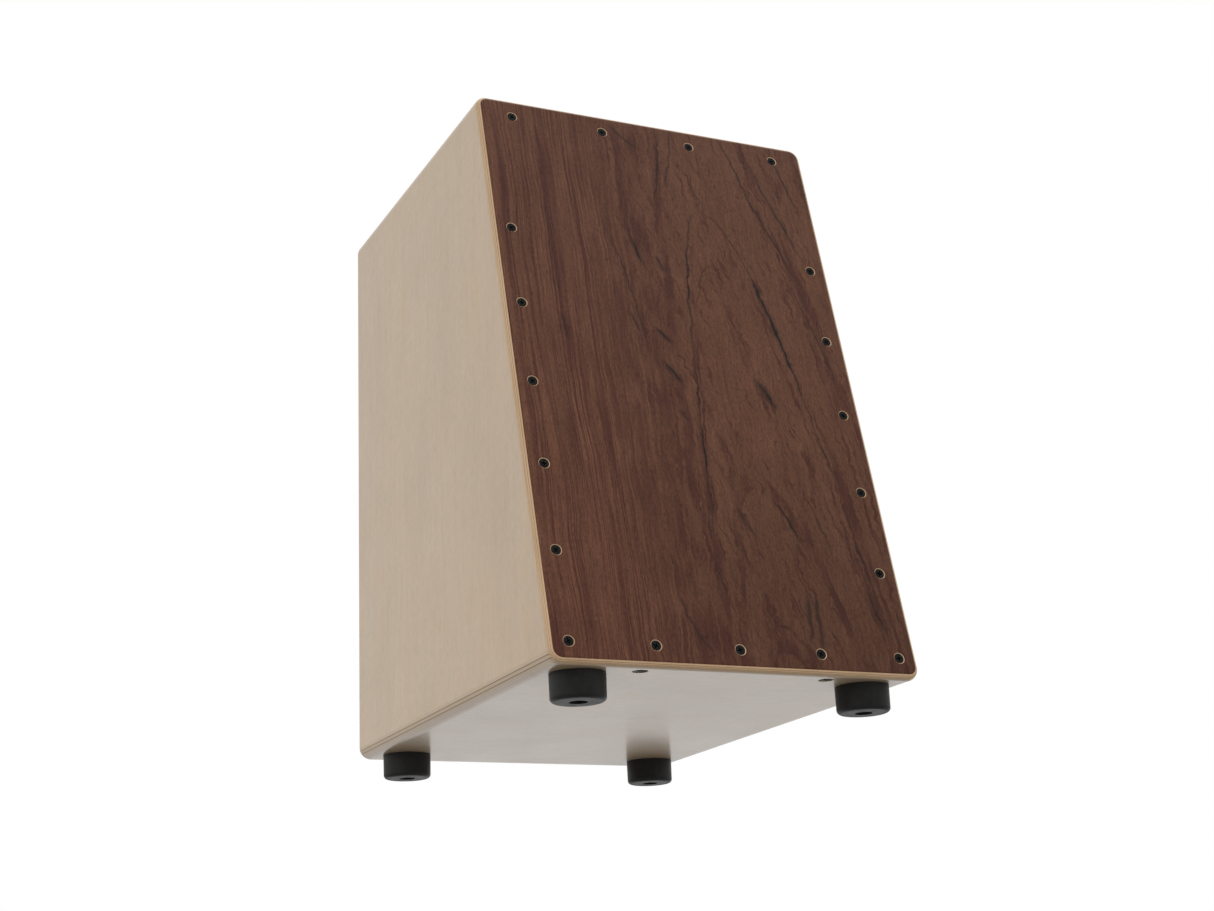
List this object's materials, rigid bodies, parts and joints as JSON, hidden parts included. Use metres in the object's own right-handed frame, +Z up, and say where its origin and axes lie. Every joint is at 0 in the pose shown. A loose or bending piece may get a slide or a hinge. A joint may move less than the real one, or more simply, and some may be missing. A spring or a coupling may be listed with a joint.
{
  "type": "cajon",
  "caption": "Box drum for sitting on, with a leaning dark veneered front plate, birch plywood case, rubber feet, sound hole and screw-tensioned snare strings.",
  "frame": {"origin": "on the floor, under the middle of the bounding box", "axes": "+Z up, the front plate faces -Y, +X to the right of someone looking at the front plate"},
  "size_m": [0.295, 0.4226, 0.5],
  "materials": {
    "birch_plywood": "clear gloss lacquer over fine straight grain",
    "back_plywood": "clear satin lacquer",
    "dark_veneer_plywood": "satin lacquer over dark figured veneer",
    "batten_softwood": "raw planed softwood",
    "foot_rubber": "moulded, semi matt",
    "black_steel": "black phosphated",
    "zinc_steel": "zinc plated",
    "nylon": "natural nylon",
    "carriage_aluminium": "as sawn, deburred",
    "brass": "turned",
    "string_steel": "plain drawn wire"
  },
  "bodies": {
    "case": {"back_panel": "back_plywood", "back_rail_bottom": "batten_softwood", "back_rail_top": "batten_softwood", "back_stile_left": "batten_softwood", "back_stile_right": "batten_softwood", "bottom_panel": "birch_plywood", "carriage_guide_left": "zinc_steel", "carriage_guide_right": "zinc_steel", "carriage_guide_screws": "zinc_steel", "foot_back_left": "foot_rubber", "foot_back_right": "foot_rubber", "foot_front_left": "foot_rubber", "foot_front_right": "foot_rubber", "foot_screws": "zinc_steel", "foot_washers": "zinc_steel", "front_plate": "dark_veneer_plywood", "front_plate_screws": "black_steel", "front_rail_bottom": "batten_softwood", "front_rail_top": "batten_softwood", "front_stile_left": "batten_softwood", "front_stile_right": "batten_softwood", "seat_panel": "birch_plywood", "side_panel_left": "birch_plywood", "side_panel_right": "birch_plywood", "snare_strings_left": "string_steel", "snare_strings_right": "string_steel", "string_ball_ends": "brass", "string_bracket": "zinc_steel", "string_bracket_screws": "zinc_steel", "tension_washers": "zinc_steel", "thrust_washers": "nylon"},
    "tension_screw_left": {"tension_screw_left": "black_steel"},
    "tension_screw_right": {"tension_screw_right": "black_steel"},
    "carriage_left": {"tension_carriage_left": "carriage_aluminium", "string_clamp_screws_left": "zinc_steel"},
    "carriage_right": {"tension_carriage_right": "carriage_aluminium", "string_clamp_screws_right": "zinc_steel"}
  },
  "joints": [
    {"name": "tension_screw_left_turn", "type": "hinge", "parent": "case", "child": "tension_screw_left", "pos_m": [-0.0743, -0.19761, 0.02146], "axis": [0, 0.2272, 0.9738], "range_deg": [-1441, 721]},
    {"name": "carriage_left_slide", "type": "slide", "parent": "case", "child": "carriage_left", "axis": [0, 0.2272, 0.9738], "range_m": [-0.002, 0.004], "deforming": ["snare_strings_left"]},
    {"name": "tension_screw_right_turn", "type": "hinge", "parent": "case", "child": "tension_screw_right", "pos_m": [0.0743, -0.19761, 0.02146], "axis": [0, 0.2272, 0.9738], "range_deg": [-1441, 721]},
    {"name": "carriage_right_slide", "type": "slide", "parent": "case", "child": "carriage_right", "axis": [0, 0.2272, 0.9738], "range_m": [-0.002, 0.004], "deforming": ["snare_strings_right"]}
  ],
  "couplings": [
    {"joint": "tension_screw_left_turn", "follows": "carriage_left_slide", "rad_per_m": -6283.2},
    {"joint": "tension_screw_right_turn", "follows": "carriage_right_slide", "rad_per_m": -6283.2}
  ]
}
